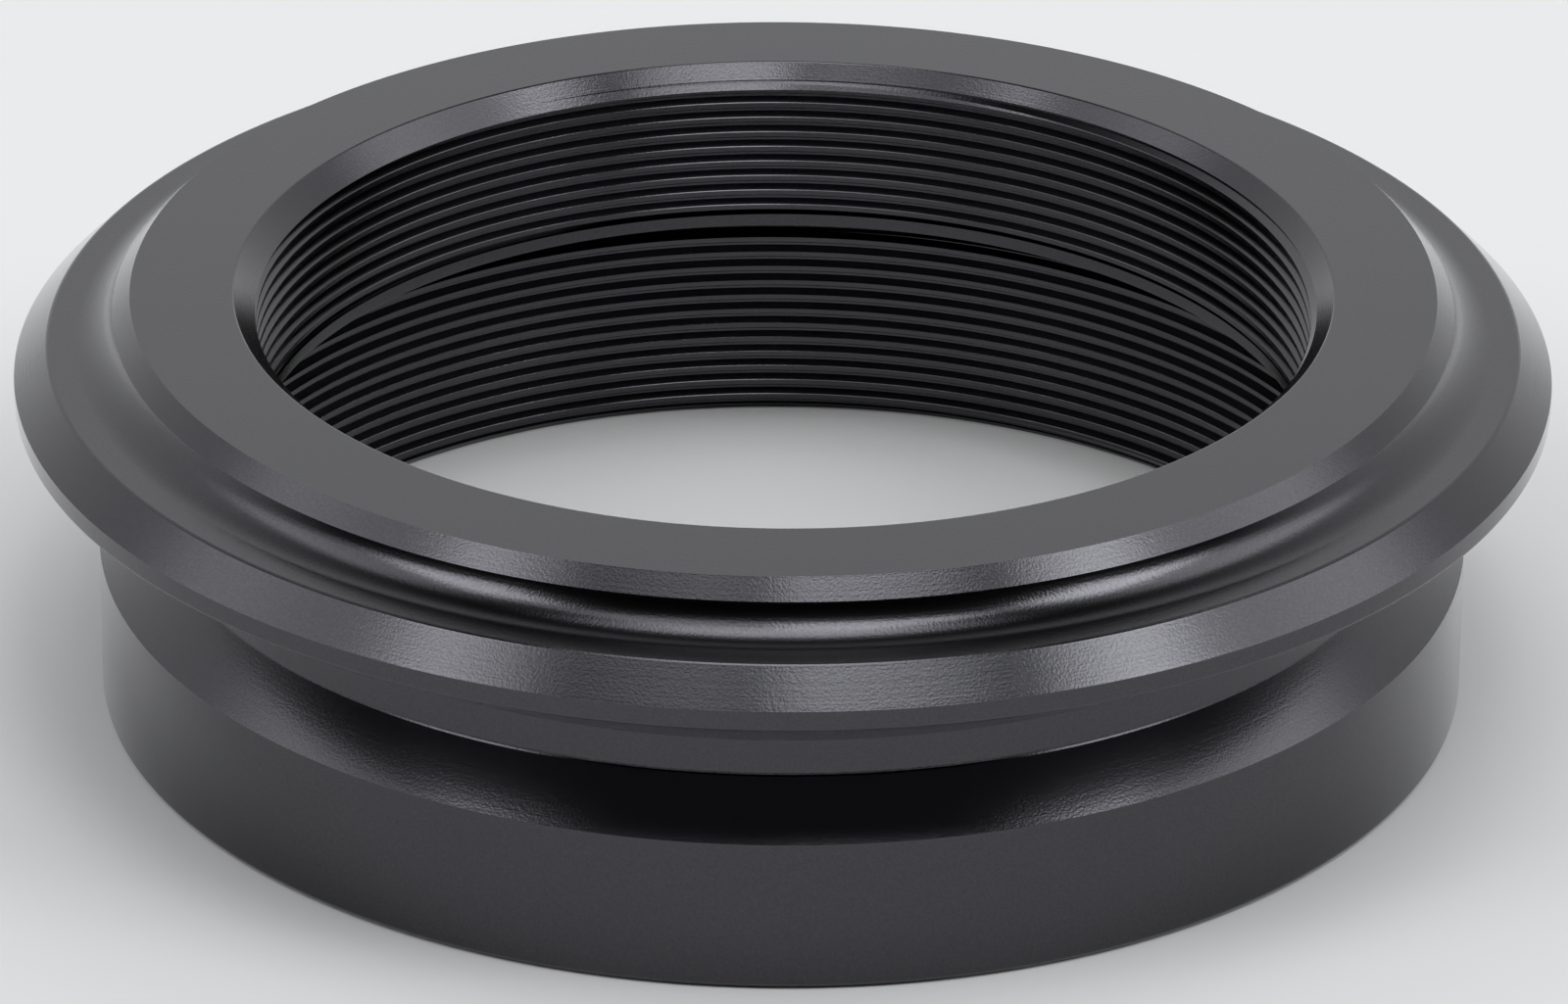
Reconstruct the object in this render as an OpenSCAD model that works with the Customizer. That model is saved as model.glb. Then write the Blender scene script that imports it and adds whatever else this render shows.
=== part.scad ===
// Focuser adapter ring: one turned, black anodised aluminium ring.
// It stands on its body, with its axis on Z and the clamp lip at the top.
// All heights are stacked upwards from the bottom face, and all sizes are in millimetres.

/* [Body] */
// Outside diameter of the spigot body
body_d = 61.7; // [60.5:0.1:64]
// Height of the body, from the bottom face to its upper edge
body_h = 7.05; // [5:0.05:12]
// Chamfer on the bottom outer edge
body_chamfer = 0.25; // [0.15:0.05:0.6]

/* [V-shaped neck groove] */
// Diameter at the bottom of the neck groove
neck_d = 56.9; // [56.4:0.1:59]
// Height of the sloping flank, from the body up to the bottom of the groove
slope_h = 2.1; // [1:0.05:3.5]
// Height of the small flat at the bottom of the groove
neck_flat = 0.2; // [0.1:0.05:0.6]

/* [Hub and flange] */
// Diameter where the hub meets the underside of the flange
hub_top_d = 61.2; // [59.5:0.1:63]
// Height of the hub, which tapers down to the bottom of the groove
hub_h = 2.65; // [2:0.05:5]
// Height of the sloping underside of the flange
under_h = 2.45; // [1.5:0.05:4]
// Outside diameter of the flange
flange_d = 69; // [68:0.1:74]
// Height of the upright rim
rim_h = 0.9; // [0.5:0.1:3]
// Bevel on the flange, the same in width and height
bevel = 1.5; // [0.8:0.1:1.8]

/* [Clamp lip and coved groove] */
// Diameter of the sharp edge of the lip
lip_d = 60.2; // [59.6:0.1:60.8]
// Height of the lip, and width of its 45 degree chamfer
lip_h = 0.85; // [0.6:0.05:1.2]
// Clear height between the flange and the lip
groove_h = 1.4; // [1.2:0.05:1.7]
// Radius of the cove in the groove
cove_r = 2; // [1.9:0.05:2.2]
// Width of the flat ring between the cove and the bevel
flat_w = 1.05; // [0.7:0.05:1.3]

/* [Upper thread] */
// Major diameter of the upper thread
upper_major_d = 48; // [44:0.5:49]
// Depth of the upper bore, from the top face to the ledge
upper_h = 8; // [6:0.1:9]
// Chamfer at the mouth of the upper thread
mouth_chamfer = 0.65; // [0.5:0.05:1]
// Least height of the plain land below the upper thread
land_h = 0.25; // [0.2:0.05:0.6]

/* [Lower thread] */
// Major diameter of the lower thread
lower_major_d = 54; // [52:0.5:54.5]
// Height of the lead-in cone at the mouth of the lower thread
lead_h = 0.6; // [0.4:0.05:1]
// Radial width of the lead-in cone
lead_w = 0.4; // [0.3:0.02:0.6]

/* [Both threads] */
// Pitch of both threads
pitch = 0.75; // [0.7:0.05:0.8]
// Radial depth of both threads, from crest to root
thread_depth = 0.35; // [0.3:0.01:0.4]
// Least height of the relief groove between the threads
relief_h = 1.7; // [1:0.1:2.4]
// Depth of the relief groove, outwards from the root of the lower thread
relief_w = 0.25; // [0.1:0.05:0.4]

/* [Edges] */
// Width of the small flat that breaks each sharp outside edge
edge_break = 0.1; // [0.05:0.01:0.14]

/* [Hidden] */

// A 60 degree thread has a root flat of an eighth of the pitch
root_flat = pitch / 8;
flank_h = thread_depth * tan(30);
crest_h = pitch - root_flat - 2 * flank_h;
// How far the circle of the cove dips below the flat face it runs out on
cove_dip = 0.01;
// The middle of the first upper crest is this far below the mouth chamfer
first_crest = pitch / 2;
revolve_steps = 48;
arc_steps = 64;

body_r = body_d / 2;
neck_r = neck_d / 2;
flange_r = flange_d / 2;
flat_r = flange_r - bevel;
lip_r = lip_d / 2;
top_r = lip_r - lip_h;

neck_z = body_h + slope_h;
hub_z = neck_z + neck_flat;
under_z = hub_z + hub_h;
rim_z = under_z + under_h;
bevel_z = rim_z + rim_h;
flange_z = bevel_z + bevel;
lip_z = flange_z + groove_h;
total_h = lip_z + lip_h;
ledge_z = total_h - upper_h;

// Half the width of the cut that the dipping circle makes in the flat face
cove_run = sqrt(cove_dip * (2 * cove_r - cove_dip));
cove_x = flat_r - flat_w - cove_run;
cove_z = flange_z - cove_dip + cove_r;

upper_root_r = upper_major_d / 2;
upper_crest_r = upper_root_r - thread_depth;
upper_first_z = total_h - mouth_chamfer - first_crest;
upper_rows = floor((upper_first_z + crest_h / 2 - ledge_z - land_h) / pitch);
land_z = upper_first_z + crest_h / 2 - upper_rows * pitch;

lower_root_r = lower_major_d / 2;
lower_crest_r = lower_root_r - thread_depth;
lower_rows = floor((ledge_z - relief_h - lead_h - crest_h - flank_h) / pitch) + 1;
lower_top_z = lead_h + crest_h / 2 + (lower_rows - 1) * pitch;

// A point that lies d along the way from p to q
function toward(p, q, d) = p + (q - p) * d / norm(q - p);

// Cuts every corner of a path but its ends back to a small flat of the size in its third value
function broken(path) = [
    for (i = [0 : len(path) - 1])
        let (p = [path[i][0], path[i][1]])
        let (before = path[max(i - 1, 0)])
        let (after = path[min(i + 1, len(path) - 1)])
        each path[i][2] == 0
            ? [p]
            : [toward(p, [before[0], before[1]], path[i][2]), toward(p, [after[0], after[1]], path[i][2])]
];

// Rows of crests on the radius crest_r, with grooves to the depth of the thread between them,
// from the crest centred on top_z down
function thread_path(crest_r, top_z, rows) = [
    for (i = [0 : rows - 1])
        let (z = top_z - i * pitch)
        each [
            [crest_r + thread_depth, z + crest_h / 2 + flank_h],
            [crest_r, z + crest_h / 2],
            [crest_r, z - crest_h / 2],
            if (i < rows - 1) [crest_r + thread_depth, z - crest_h / 2 - flank_h],
        ]
];

// Outside of the section, from the bottom face up to the top face, before the cove is cut
function outer_path() = broken([
    [body_r - body_chamfer, 0, 0],
    [body_r, body_chamfer, 0],
    [body_r, body_h, edge_break],
    [neck_r, neck_z, 0],
    [neck_r, hub_z, 0],
    [hub_top_d / 2, under_z, 0],
    [flange_r, rim_z, edge_break],
    [flange_r, bevel_z, edge_break],
    [flat_r, flange_z, edge_break],
    [cove_x, flange_z, 0],
    [cove_x, lip_z, 0],
    [lip_r, lip_z, edge_break],
    [top_r, total_h, edge_break],
    [upper_root_r + mouth_chamfer, total_h, 0],
]);

// Inside of the section, from the top face down to the bottom face
function inner_path() = concat(
    [[upper_root_r, total_h - mouth_chamfer]],
    thread_path(upper_crest_r, upper_first_z, upper_rows),
    [
        [upper_root_r, land_z + flank_h + root_flat],
        [upper_root_r, land_z + flank_h],
        [upper_crest_r, land_z],
        [upper_crest_r, ledge_z],
        [lower_root_r + relief_w, ledge_z],
        [lower_root_r + relief_w, lower_top_z + crest_h / 2 + flank_h],
    ],
    thread_path(lower_crest_r, lower_top_z, lower_rows),
    [[lower_crest_r + lead_w, 0]]
);

// The coved groove under the lip, a circle that stops at the underside of the lip
module cove_section() {
    intersection() {
        translate([cove_x, cove_z])
            circle(r = cove_r, $fn = arc_steps);
        translate([cove_x - cove_r, flange_z - cove_dip])
            square([2 * cove_r, groove_h + cove_dip]);
    }
}

module ring_section() {
    difference() {
        polygon(concat(outer_path(), inner_path()));
        cove_section();
    }
}

module adapter_ring() {
    color([0.23, 0.23, 0.24])
        rotate_extrude($fn = revolve_steps)
            ring_section();
}

adapter_ring();
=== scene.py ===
import math
from typing import NamedTuple

import bmesh
import bpy
from bpy.props import FloatProperty, FloatVectorProperty, IntProperty, PointerProperty
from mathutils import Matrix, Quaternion, Vector


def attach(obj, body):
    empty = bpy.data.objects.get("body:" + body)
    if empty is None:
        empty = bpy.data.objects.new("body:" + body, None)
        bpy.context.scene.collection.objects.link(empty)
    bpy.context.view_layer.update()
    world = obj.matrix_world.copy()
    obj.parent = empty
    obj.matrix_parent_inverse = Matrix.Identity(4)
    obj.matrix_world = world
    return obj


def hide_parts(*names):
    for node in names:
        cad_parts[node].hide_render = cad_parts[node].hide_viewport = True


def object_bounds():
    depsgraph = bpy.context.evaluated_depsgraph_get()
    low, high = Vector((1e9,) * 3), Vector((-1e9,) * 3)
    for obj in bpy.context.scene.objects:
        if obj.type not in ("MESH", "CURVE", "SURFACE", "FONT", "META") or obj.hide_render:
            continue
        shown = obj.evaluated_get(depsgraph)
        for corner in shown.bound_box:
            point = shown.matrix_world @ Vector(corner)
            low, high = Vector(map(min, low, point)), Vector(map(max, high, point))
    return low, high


bl_info = {
    "name": "Adapter ring studio",
    "version": (1, 0, 0),
    "blender": (4, 5, 0),
    "location": "View3D > Sidebar > Adapter",
    "description": "Turns a threaded adapter ring, finishes it in satin black and sets it on a studio stage",
    "category": "Object",
}

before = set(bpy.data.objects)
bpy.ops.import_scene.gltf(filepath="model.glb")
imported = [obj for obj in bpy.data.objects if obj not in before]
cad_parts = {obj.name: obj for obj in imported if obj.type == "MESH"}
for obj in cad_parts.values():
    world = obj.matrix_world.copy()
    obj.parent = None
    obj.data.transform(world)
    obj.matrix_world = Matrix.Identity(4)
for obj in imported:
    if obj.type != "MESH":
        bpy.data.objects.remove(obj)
cad_low, cad_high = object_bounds()

NODE = "adapter_ring"
MM = 0.001
FULL_TURN = 2 * math.pi
# Vertices of a section this near to each other are one, in millimetres
MERGE = 0.001
# The same for a cut thread, whose corners lie closer
FINE_MERGE = 0.0005
SENSOR_MM = 36


def length(name, description, mm):
    """A size in the panel, given in millimetres."""
    return FloatProperty(name=name, description=description, default=mm * MM, min=0, unit="LENGTH", precision=5)


class RingSizes(bpy.types.PropertyGroup):
    """Outside of the ring. Depths are measured down from the top face."""

    height: length("Height", "From the bottom face to the top face", (cad_high.z - cad_low.z) / MM)
    flange_d: length("Flange diameter", "Across the upright rim", (cad_high.x - cad_low.x) / MM)
    lip_d: length("Lip diameter", "Across the sharp edge of the clamp lip", 60.2)
    lip_h: length("Lip height", "Height and width of the lip's chamfer", 0.85)
    flat_depth: length("Flange face depth", "Depth of the flat ring beside the cove", 2.25)
    cove_r: length("Cove radius", "Radius of the cove under the lip", 2.0)
    cove_d: length("Cove centre diameter", "Diameter of the circle that the cove's centre runs on", 63.6)
    bevel: length("Bevel", "Width and height of the flange's bevel", 1.5)
    rim_h: length("Rim height", "Height of the upright rim", 0.9)
    hub_depth: length("Hub depth", "Depth where the sloping underside meets the upright hub", 8.25)
    neck_depth: length("Neck depth", "Depth where the hub meets the sloping flank of the body", 9.9)
    hub_d: length("Hub diameter", "Across the upright hub", 56.9)
    body_depth: length("Body depth", "Depth of the body's upper edge", 12.05)
    body_d: length("Body diameter", "Across the plain body", 61.7)
    body_chamfer: length("Body chamfer", "Chamfer on the bottom outer edge", 0.25)
    edge_break: length("Edge break", "Rounding of the sharp outside edges", 0.09)


class ThreadSizes(bpy.types.PropertyGroup):
    """The stepped bore and its two right-handed threads. Depths are measured down from the top face."""

    pitch: length("Pitch", "Pitch of both threads", 0.75)
    depth: length("Thread depth", "Radial depth of both threads", 0.36)
    upper_d: length("Upper major diameter", "Major diameter of the upper thread", 48.0)
    upper_phase: length("Upper start", "Depth of the first upper crest at the back", 1.04)
    upper_turns: IntProperty(
        name="Upper turns", description="Turns of the upper thread's cutter", default=10, min=1
    )
    mouth_chamfer: length("Mouth chamfer", "Chamfer at the mouth of the upper thread", 0.65)
    land_depth: length("Land depth", "Depth where the upper thread ends", 7.42)
    ledge_depth: length("Ledge depth", "Depth of the ledge under the upper thread", 8.0)
    relief_d: length("Relief diameter", "Across the groove between the threads", 54.5)
    relief_depth: length("Relief depth", "Depth where the relief groove ends", 9.8)
    lower_d: length("Lower major diameter", "Major diameter of the lower thread", 54.0)
    lower_phase: length("Lower start", "Depth of the first lower crest at the back", 10.12)
    lower_turns: IntProperty(
        name="Lower turns", description="Turns of the lower thread's cutter", default=13, min=1
    )
    lead_h: length("Lead-in height", "Height of the cone at the bottom mouth", 0.6)
    lead_w: length("Lead-in width", "Radial width of the cone at the bottom mouth", 0.4)


class Finish(bpy.types.PropertyGroup):
    """The satin black skin of the metal."""

    colour: FloatVectorProperty(
        name="Black", description="Sheen of the dyed skin", subtype="COLOR", size=3, default=(0.062, 0.061, 0.068)
    )
    mottle: FloatProperty(
        name="Mottle", description="Share by which the grain changes the sheen", default=0.5, min=0
    )
    roughness: FloatProperty(
        name="Roughness", description="Roughness of the skin", default=0.18, min=0, max=1
    )
    drag: FloatProperty(
        name="Drag", description="Stretch of highlights across the turning lines", default=0.6, min=0
    )
    sealing_ior: FloatProperty(
        name="Sealing IOR", description="Refraction of the sealed surface", default=1.2, min=1
    )
    grain_depth: length("Grain depth", "Depth of the finest grain", 0.007)
    grain_scale: FloatProperty(name="Grain scale", description="Grains in a metre", default=9000, min=0)
    line_share: FloatProperty(
        name="Lines", description="Share of the turning lines in the relief", default=0.4, min=0
    )
    grain_share: FloatProperty(
        name="Grain", description="Share of the grain in the relief", default=0.8, min=0
    )


class StageSettings(bpy.types.PropertyGroup):
    """Camera, floor and surroundings."""

    lens: FloatProperty(
        name="Lens", description="Focal length of the camera", default=241.4 * MM, unit="CAMERA"
    )
    distance: FloatProperty(
        name="Distance", description="From the camera to its aim", default=0.4758, unit="LENGTH"
    )
    elevation: FloatProperty(
        name="Elevation", description="Camera's angle above the floor", default=math.radians(26.23), subtype="ANGLE"
    )
    roll: FloatProperty(name="Roll", description="Camera's roll", default=math.radians(0.37), subtype="ANGLE")
    aim_height: FloatProperty(
        name="Aim", description="Height of the aim above the floor", default=0.0082, unit="LENGTH"
    )
    shift: FloatProperty(
        name="Shift", description="Sideways shift of the lens, in frame widths", default=0.00125
    )
    floor: FloatVectorProperty(
        name="Floor", description="Colour of the floor", subtype="COLOR", size=3, default=(0.8, 0.8, 0.8)
    )
    floor_width: FloatProperty(
        name="Floor width", description="Side of the square floor", default=6, unit="LENGTH"
    )
    floor_roughness: FloatProperty(
        name="Floor roughness", description="Roughness of the floor card", default=0.9
    )
    light: FloatVectorProperty(
        name="Light", description="Colour of the soft boxes", subtype="COLOR", size=3, default=(0.98, 0.99, 1.0)
    )
    segments: IntProperty(name="Segments", description="Facets round the ring", default=256, min=64, max=360)


class SoftBox(NamedTuple):
    """A soft patch of studio light, as the ring sees it. Angles are in degrees. The middle is an azimuth,
    with 0 at the camera's side and growing to the right, and low and high are elevations."""

    middle: float
    half_width: float
    low: float
    high: float
    radiance: float
    soft: float = 8


SOFT_BOXES = {
    "right lamp": SoftBox(middle=64, half_width=12, low=30, high=56, radiance=5.4, soft=5),
    "right wall": SoftBox(middle=92, half_width=22, low=26, high=60, radiance=1.5),
    "left lamp": SoftBox(middle=-60, half_width=12, low=30, high=56, radiance=4.2, soft=5),
    "left wall": SoftBox(middle=-88, half_width=22, low=26, high=60, radiance=1.1),
    "right overhead lamp": SoftBox(middle=26, half_width=28, low=61, high=80, radiance=4.4, soft=5),
    "left overhead lamp": SoftBox(middle=-34, half_width=26, low=60, high=80, radiance=1.8, soft=5),
    "ceiling": SoftBox(middle=0, half_width=180, low=78, high=100, radiance=3.6),
    "far wall": SoftBox(middle=180, half_width=90, low=-10, high=50, radiance=0.78, soft=16),
}


class Pen:
    """Draws a section in the XZ plane by extruding one vertex. Its unit is the millimetre."""

    def __init__(self, name, x, z):
        bpy.ops.object.select_all(action="DESELECT")
        bpy.ops.mesh.primitive_plane_add(size=1, location=(0, 0, 0))
        self.piece = bpy.context.active_object
        self.piece.name = name
        self.piece.data.name = name
        bpy.ops.object.mode_set(mode="EDIT")
        bpy.ops.mesh.merge(type="CENTER")
        bpy.ops.transform.translate(value=(x, 0, z))
        self.x, self.z = x, z

    def line(self, x, z):
        """A straight line to x, z."""
        bpy.ops.mesh.extrude_vertices_move(TRANSFORM_OT_translate={"value": (x - self.x, 0, z - self.z)})
        self.x, self.z = x, z

    def arc(self, centre_x, centre_z, x, z, steps):
        """The shorter arc about a centre, to x, z."""
        start = math.atan2(self.z - centre_z, self.x - centre_x)
        turn = math.atan2(z - centre_z, x - centre_x) - start
        turn = (turn + math.pi) % FULL_TURN - math.pi
        bpy.ops.mesh.spin(
            steps=steps, angle=turn, center=(centre_x, 0, centre_z), axis=(0, 1, 0), use_normal_flip=False
        )
        self.x, self.z = x, z

    def close(self):
        """Joins the last vertex to the first."""
        bpy.ops.mesh.select_all(action="SELECT")
        bpy.ops.mesh.remove_doubles(threshold=MERGE)
        return self.piece


def half_chord(radius, height):
    """Half the width of a circle at a height from its centre."""
    return math.sqrt(radius**2 - height**2)


def select_circle(piece, radius, z):
    """Selects the edges of the circle at this radius and height, in edit mode."""
    mesh = bmesh.from_edit_mesh(piece.data)
    near = 2 * MERGE
    bpy.ops.mesh.select_all(action="DESELECT")
    for edge in mesh.edges:
        edge.select = all(abs(v.co.xy.length - radius) < near and abs(v.co.z - z) < near for v in edge.verts)
    mesh.select_flush_mode()
    bmesh.update_edit_mesh(piece.data)


def break_edge(piece, radius, z, width):
    """Rounds the sharp edge at this radius and height."""
    select_circle(piece, radius, z)
    bpy.ops.mesh.bevel(offset=width, offset_type="OFFSET", segments=2, affect="EDGES", clamp_overlap=False)


def mm(value):
    """A length of the panel in millimetres."""
    return value / MM


def turn_ring(ring, threads, segments):
    """The turned ring with plain bores, in millimetres, top face up and bottom face on zero."""
    cove_steps = 20
    top = mm(ring.height)
    lip_r = mm(ring.lip_d) / 2
    rim_r = mm(ring.flange_d) / 2
    flat_r = rim_r - mm(ring.bevel)
    flat_z = top - mm(ring.flat_depth)
    bevel_z = flat_z - mm(ring.bevel)
    rim_z = bevel_z - mm(ring.rim_h)
    hub_r = mm(ring.hub_d) / 2
    hub_z = top - mm(ring.hub_depth)
    neck_z = top - mm(ring.neck_depth)
    body_r = mm(ring.body_d) / 2
    body_z = top - mm(ring.body_depth)
    chamfer = mm(ring.body_chamfer)
    cove_r = mm(ring.cove_r)
    cove_x = mm(ring.cove_d) / 2
    cove_z = flat_z + cove_r
    lip_z = top - mm(ring.lip_h)
    depth = mm(threads.depth)
    upper_r = mm(threads.upper_d) / 2 - depth
    mouth = mm(threads.mouth_chamfer) + depth
    ledge_z = top - mm(threads.ledge_depth)
    relief_r = mm(threads.relief_d) / 2
    relief_z = top - mm(threads.relief_depth)
    lower_r = mm(threads.lower_d) / 2 - depth
    lead_z = mm(threads.lead_h)
    lead_r = lower_r + mm(threads.lead_w)

    pen = Pen(NODE + "_turned", upper_r + mouth, top)
    pen.line(lip_r - mm(ring.lip_h), top)
    pen.line(lip_r, lip_z)
    pen.line(cove_x - half_chord(cove_r, lip_z - cove_z), lip_z)
    pen.arc(cove_x, cove_z, cove_x, flat_z, cove_steps)
    pen.line(flat_r, flat_z)
    pen.line(rim_r, bevel_z)
    pen.line(rim_r, rim_z)
    pen.line(hub_r, hub_z)
    pen.line(hub_r, neck_z)
    pen.line(body_r, body_z)
    pen.line(body_r, chamfer)
    pen.line(body_r - chamfer, 0)
    pen.line(lead_r, 0)
    pen.line(lower_r, lead_z)
    pen.line(lower_r, relief_z)
    pen.line(relief_r, relief_z)
    pen.line(relief_r, ledge_z)
    pen.line(upper_r, ledge_z)
    pen.line(upper_r, top - mouth)
    pen.line(upper_r + mouth, top)
    piece = pen.close()
    bpy.ops.mesh.spin(steps=segments, angle=FULL_TURN, center=(0, 0, 0), axis=(0, 0, 1))
    bpy.ops.mesh.select_all(action="SELECT")
    bpy.ops.mesh.remove_doubles(threshold=MERGE)
    bpy.ops.mesh.normals_make_consistent(inside=False)
    edge = mm(ring.edge_break)
    crisp_edge = edge * 0.6
    ledge_edge = edge * 0.4
    break_edge(piece, upper_r + mouth, top, crisp_edge)
    break_edge(piece, lip_r - mm(ring.lip_h), top, edge)
    break_edge(piece, lip_r, lip_z, crisp_edge)
    break_edge(piece, flat_r, flat_z, edge)
    break_edge(piece, rim_r, bevel_z, edge)
    break_edge(piece, rim_r, rim_z, edge)
    break_edge(piece, hub_r, hub_z, edge)
    break_edge(piece, hub_r, neck_z, edge)
    break_edge(piece, body_r, body_z, edge)
    break_edge(piece, body_r, chamfer, edge)
    break_edge(piece, upper_r, ledge_z, ledge_edge)
    bpy.ops.object.mode_set(mode="OBJECT")
    return piece


def thread_cutter(name, threads, major_r, groove_z, turns, segments, floor_z):
    """A helical cutter for a right-handed internal thread. groove_z is the height of its
    lowest groove at the right side of the ring, and nothing is left of it below floor_z."""
    pitch = mm(threads.pitch)
    depth = mm(threads.depth)
    flank = math.tan(math.radians(30))
    # Half the width of the groove at its root and at its crest
    root = pitch / 16
    crest = root + depth * flank
    # The last stretch of each flank opens wider, which breaks the crest's edge, and the cutter
    # goes on into the empty bore
    slope = 0.03
    inside = 0.1
    pen = Pen(name, major_r, groove_z - root)
    pen.line(major_r, groove_z + root)
    pen.line(major_r - depth + slope, groove_z + crest - slope * flank)
    pen.line(major_r - depth - inside, groove_z + crest + inside)
    pen.line(major_r - depth - inside, groove_z - crest - inside)
    pen.line(major_r - depth + slope, groove_z - crest + slope * flank)
    pen.line(major_r, groove_z - root)
    piece = pen.close()
    bpy.ops.object.mode_set(mode="OBJECT")
    screw = piece.modifiers.new("Helix", "SCREW")
    screw.axis = "Z"
    screw.angle = FULL_TURN
    screw.screw_offset = pitch
    screw.iterations = turns
    screw.steps = segments
    screw.render_steps = segments
    screw.use_merge_vertices = False
    bpy.ops.object.modifier_apply(modifier=screw.name)
    bpy.ops.object.mode_set(mode="EDIT")
    bpy.ops.mesh.select_all(action="SELECT")
    bpy.ops.mesh.remove_doubles(threshold=FINE_MERGE)
    bpy.ops.mesh.select_all(action="DESELECT")
    bpy.ops.mesh.select_mode(type="EDGE")
    bpy.ops.mesh.select_non_manifold()
    bpy.ops.mesh.edge_face_add()
    bpy.ops.mesh.select_mode(type="VERT")
    bpy.ops.mesh.select_all(action="SELECT")
    bpy.ops.mesh.bisect(plane_co=(0, 0, floor_z), plane_no=(0, 0, 1), use_fill=True, clear_inner=True)
    bpy.ops.mesh.select_all(action="SELECT")
    bpy.ops.mesh.normals_make_consistent(inside=False)
    bpy.ops.object.mode_set(mode="OBJECT")
    return piece


def cut(piece, cutter):
    """Cuts one piece out of another and removes the cutter."""
    bpy.ops.object.select_all(action="DESELECT")
    bpy.context.view_layer.objects.active = piece
    piece.select_set(True)
    modifier = piece.modifiers.new("Thread", "BOOLEAN")
    modifier.operation = "DIFFERENCE"
    modifier.solver = "EXACT"
    modifier.object = cutter
    bpy.ops.object.modifier_apply(modifier=modifier.name)
    bpy.data.objects.remove(cutter)
    if not piece.data.vertices:
        raise RuntimeError(f"the cut left nothing of {piece.name}")


def clean(piece):
    """Merges what the cuts left double and turns all normals outward."""
    bpy.ops.object.mode_set(mode="EDIT")
    bpy.ops.mesh.select_all(action="SELECT")
    bpy.ops.mesh.remove_doubles(threshold=FINE_MERGE)
    bpy.ops.mesh.dissolve_degenerate(threshold=FINE_MERGE)
    bpy.ops.mesh.normals_make_consistent(inside=False)
    bpy.ops.object.mode_set(mode="OBJECT")


class ADAPTER_OT_ring(bpy.types.Operator):
    """Turn the ring, cut both threads and give it its finish"""

    bl_idname = "adapter.ring"
    bl_label = "Adapter Ring"

    def execute(self, context):
        scene = context.scene
        ring, threads, segments = scene.ring_sizes, scene.thread_sizes, scene.adapter_stage.segments
        top = mm(ring.height)
        pitch = mm(threads.pitch)
        piece = turn_ring(ring, threads, segments)
        # A helix rises by a quarter of the pitch from the right side to the back, and has its crest
        # half a pitch under its groove
        upper_z = top - mm(threads.upper_phase) + pitch / 4 - (threads.upper_turns - 1) * pitch
        lower_z = top - mm(threads.lower_phase) + pitch / 4 - (threads.lower_turns - 1) * pitch
        land_z = top - mm(threads.land_depth)
        below = -top
        for name, major_d, groove_z, turns, floor_z in (
            ("upper_cutter", threads.upper_d, upper_z, threads.upper_turns, land_z),
            ("lower_cutter", threads.lower_d, lower_z, threads.lower_turns, below),
        ):
            cut(piece, thread_cutter(name, threads, mm(major_d) / 2, groove_z, turns, segments, floor_z))
        piece.name = NODE + "_finished"
        piece.data.name = piece.name
        bpy.ops.object.select_all(action="DESELECT")
        piece.select_set(True)
        context.view_layer.objects.active = piece
        piece.scale = (MM, MM, MM)
        clean(piece)
        bpy.ops.object.transform_apply(location=True, rotation=True, scale=True)
        bpy.ops.object.shade_smooth_by_angle(angle=math.radians(9))
        piece.data.materials.clear()
        piece.data.materials.append(satin_black(scene.adapter_finish))
        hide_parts(NODE)
        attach(piece, "root")
        return {"FINISHED"}


class Socket:
    """An output socket with the maths that the materials and the world use on it."""

    def __init__(self, nodes, output):
        self.nodes, self.output = nodes, output

    def maths(self, operation, *others):
        return self.nodes.add("ShaderNodeMath", {"operation": operation}, dict(enumerate((self, *others))))

    def __add__(self, other):
        return self.maths("ADD", other)

    def __mul__(self, other):
        return self.maths("MULTIPLY", other)

    def __sub__(self, other):
        return self.maths("SUBTRACT", other)


class Nodes:
    """Adds nodes to a node tree."""

    def __init__(self, tree):
        self.tree = tree
        tree.nodes.clear()

    def add(self, kind, settings=None, inputs=None, output=0):
        """Adds a node, sets it, fills or links its inputs and returns one of its outputs, or several
        where output is a list."""
        node = self.tree.nodes.new(kind)
        for name, value in (settings or {}).items():
            setattr(node, name, value)
        for key, value in (inputs or {}).items():
            if isinstance(value, Socket):
                self.tree.links.new(value.output, node.inputs[key])
            else:
                node.inputs[key].default_value = value
        if isinstance(output, list):
            return [Socket(self, node.outputs[name]) for name in output]
        return Socket(self, node.outputs[output]) if node.outputs else None


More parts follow.
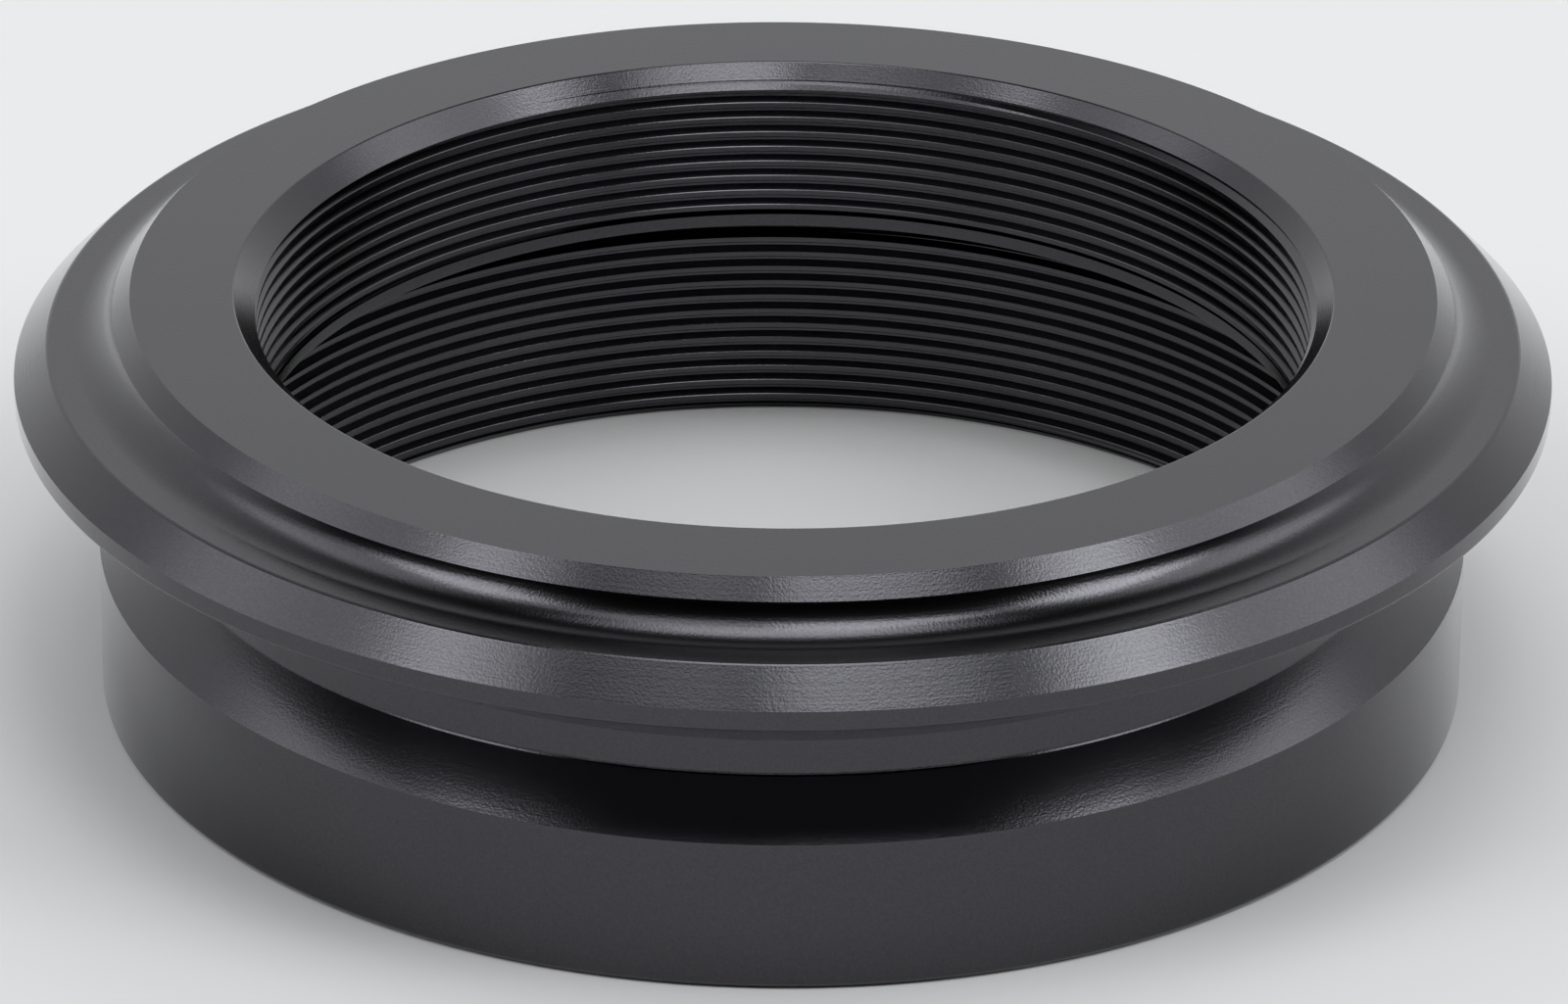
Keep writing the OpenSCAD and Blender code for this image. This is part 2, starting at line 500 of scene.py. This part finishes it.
def satin_black(finish):
    """Dyed and sealed skin with a fine grain over turning lines."""
    material = bpy.data.materials.new("black_anodised")
    material.use_nodes = True
    nodes = Nodes(material.node_tree)
    place = nodes.add("ShaderNodeTexCoord", output="Object")
    height = nodes.add("ShaderNodeSeparateXYZ", {}, {0: place}, "Z")
    flat = nodes.add("ShaderNodeVectorMath", {"operation": "MULTIPLY"}, {0: place, 1: (1, 1, 0)})
    radius = nodes.add("ShaderNodeVectorMath", {"operation": "LENGTH"}, {0: flat}, "Value")
    section = nodes.add("ShaderNodeCombineXYZ", {}, {0: radius, 2: height})
    scale = finish.grain_scale
    lines = nodes.add("ShaderNodeTexNoise", {}, {"Vector": section, "Scale": scale, "Detail": 2.0}, "Fac")
    grain = nodes.add("ShaderNodeTexNoise", {}, {"Vector": place, "Scale": scale, "Detail": 1.0}, "Fac")
    relief = lines * finish.line_share + grain * finish.grain_share
    bump = nodes.add("ShaderNodeBump", {}, {"Strength": 1.0, "Distance": finish.grain_depth, "Height": relief})
    tone = grain * finish.mottle + (1 - finish.mottle / 2)
    sheen = nodes.add("ShaderNodeVectorMath", {"operation": "SCALE"}, {0: tuple(finish.colour), "Scale": tone})
    quarter_turn = 0.25
    shader = nodes.add(
        "ShaderNodeBsdfPrincipled",
        {},
        {
            "Base Color": sheen,
            "Metallic": 1.0,
            "Roughness": finish.roughness,
            "Anisotropic": finish.drag,
            "Anisotropic Rotation": quarter_turn,
            "Coat Weight": 1.0,
            "Coat Roughness": finish.roughness,
            "Coat IOR": finish.sealing_ior,
            "Normal": bump,
        },
    )
    nodes.add("ShaderNodeOutputMaterial", {}, {"Surface": shader})
    return material


def floor_card(stage):
    """Plain matt card."""
    material = bpy.data.materials.new("floor_card")
    material.use_nodes = True
    nodes = Nodes(material.node_tree)
    shader = nodes.add(
        "ShaderNodeBsdfPrincipled", {}, {"Base Color": (*stage.floor, 1), "Roughness": stage.floor_roughness}
    )
    nodes.add("ShaderNodeOutputMaterial", {}, {"Surface": shader})
    return material


def ramp(nodes, value, start, end):
    """Goes smoothly from 0 at start to 1 at end, both in degrees. Start may be the greater."""
    return nodes.add(
        "ShaderNodeMapRange",
        {"interpolation_type": "SMOOTHSTEP"},
        {"Value": value, "From Min": math.radians(start), "From Max": math.radians(end)},
    )


def glow(nodes, azimuth, elevation, box):
    """The light of one soft box in each direction."""
    off_middle = azimuth - math.radians(box.middle)
    aside = off_middle.maths("WRAP", math.pi, -math.pi).maths("ABSOLUTE")
    across = ramp(nodes, aside, box.half_width + box.soft, box.half_width - box.soft)
    up = ramp(nodes, elevation, box.low - box.soft, box.low + box.soft)
    down = ramp(nodes, elevation, box.high + box.soft, box.high - box.soft)
    return across * up * down * box.radiance


def studio(stage):
    """Surroundings that are dark but for the soft boxes."""
    world = bpy.data.worlds.new("studio")
    world.use_nodes = True
    nodes = Nodes(world.node_tree)
    towards = nodes.add("ShaderNodeTexCoord", output="Generated")
    x, y, z = nodes.add("ShaderNodeSeparateXYZ", {}, {0: towards}, ["X", "Y", "Z"])
    azimuth = x.maths("ARCTAN2", y * -1.0)
    elevation = z.maths("ARCSINE")
    first, *others = SOFT_BOXES.values()
    light = glow(nodes, azimuth, elevation, first)
    for box in others:
        light = light + glow(nodes, azimuth, elevation, box)
    shader = nodes.add("ShaderNodeBackground", {}, {"Color": (*stage.light, 1), "Strength": light})
    nodes.add("ShaderNodeOutputWorld", {}, {"Surface": shader})
    return world


class ADAPTER_OT_stage(bpy.types.Operator):
    """Set the floor, the surroundings and the camera"""

    bl_idname = "adapter.stage"
    bl_label = "Studio Stage"

    def execute(self, context):
        scene = context.scene
        stage = scene.adapter_stage
        bpy.ops.mesh.primitive_plane_add(size=stage.floor_width, location=(0, 0, 0))
        floor = context.active_object
        floor.name = "floor"
        floor.data.materials.append(floor_card(stage))

        scene.world = studio(stage)

        aim = Vector((0, 0, stage.aim_height))
        towards = Vector((0, -math.cos(stage.elevation), math.sin(stage.elevation)))
        turn = towards.to_track_quat("Z", "Y") @ Quaternion((0, 0, 1), stage.roll)
        bpy.ops.object.camera_add(location=aim + towards * stage.distance, rotation=turn.to_euler())
        camera = context.active_object
        camera.name = "camera"
        camera.data.sensor_width = SENSOR_MM
        camera.data.lens = mm(stage.lens)
        camera.data.shift_x = stage.shift
        camera.data.clip_start = 0.01
        scene.camera = camera
        scene.view_settings.view_transform = "Standard"
        return {"FINISHED"}


class ADAPTER_PT_panel(bpy.types.Panel):
    """Lists the sizes and the steps of the adapter ring"""

    bl_idname = "ADAPTER_PT_panel"
    bl_label = "Adapter Ring"
    bl_space_type = "VIEW_3D"
    bl_region_type = "UI"
    bl_category = "Adapter"

    def draw(self, context):
        layout = self.layout
        for name in GROUPS:
            group = getattr(context.scene, name)
            for key in group.__annotations__:
                layout.prop(group, key)
        layout.operator(ADAPTER_OT_ring.bl_idname)
        layout.operator(ADAPTER_OT_stage.bl_idname)


CLASSES = (RingSizes, ThreadSizes, Finish, StageSettings, ADAPTER_OT_ring, ADAPTER_OT_stage, ADAPTER_PT_panel)
GROUPS = {
    "ring_sizes": RingSizes,
    "thread_sizes": ThreadSizes,
    "adapter_finish": Finish,
    "adapter_stage": StageSettings,
}


def register():
    for item in CLASSES:
        bpy.utils.register_class(item)
    for name, group in GROUPS.items():
        setattr(bpy.types.Scene, name, PointerProperty(type=group))


def unregister():
    for name in GROUPS:
        delattr(bpy.types.Scene, name)
    for item in reversed(CLASSES):
        bpy.utils.unregister_class(item)


def main():
    register()
    bpy.ops.adapter.ring()
    bpy.ops.adapter.stage()


if __name__ == "__main__":
    main()
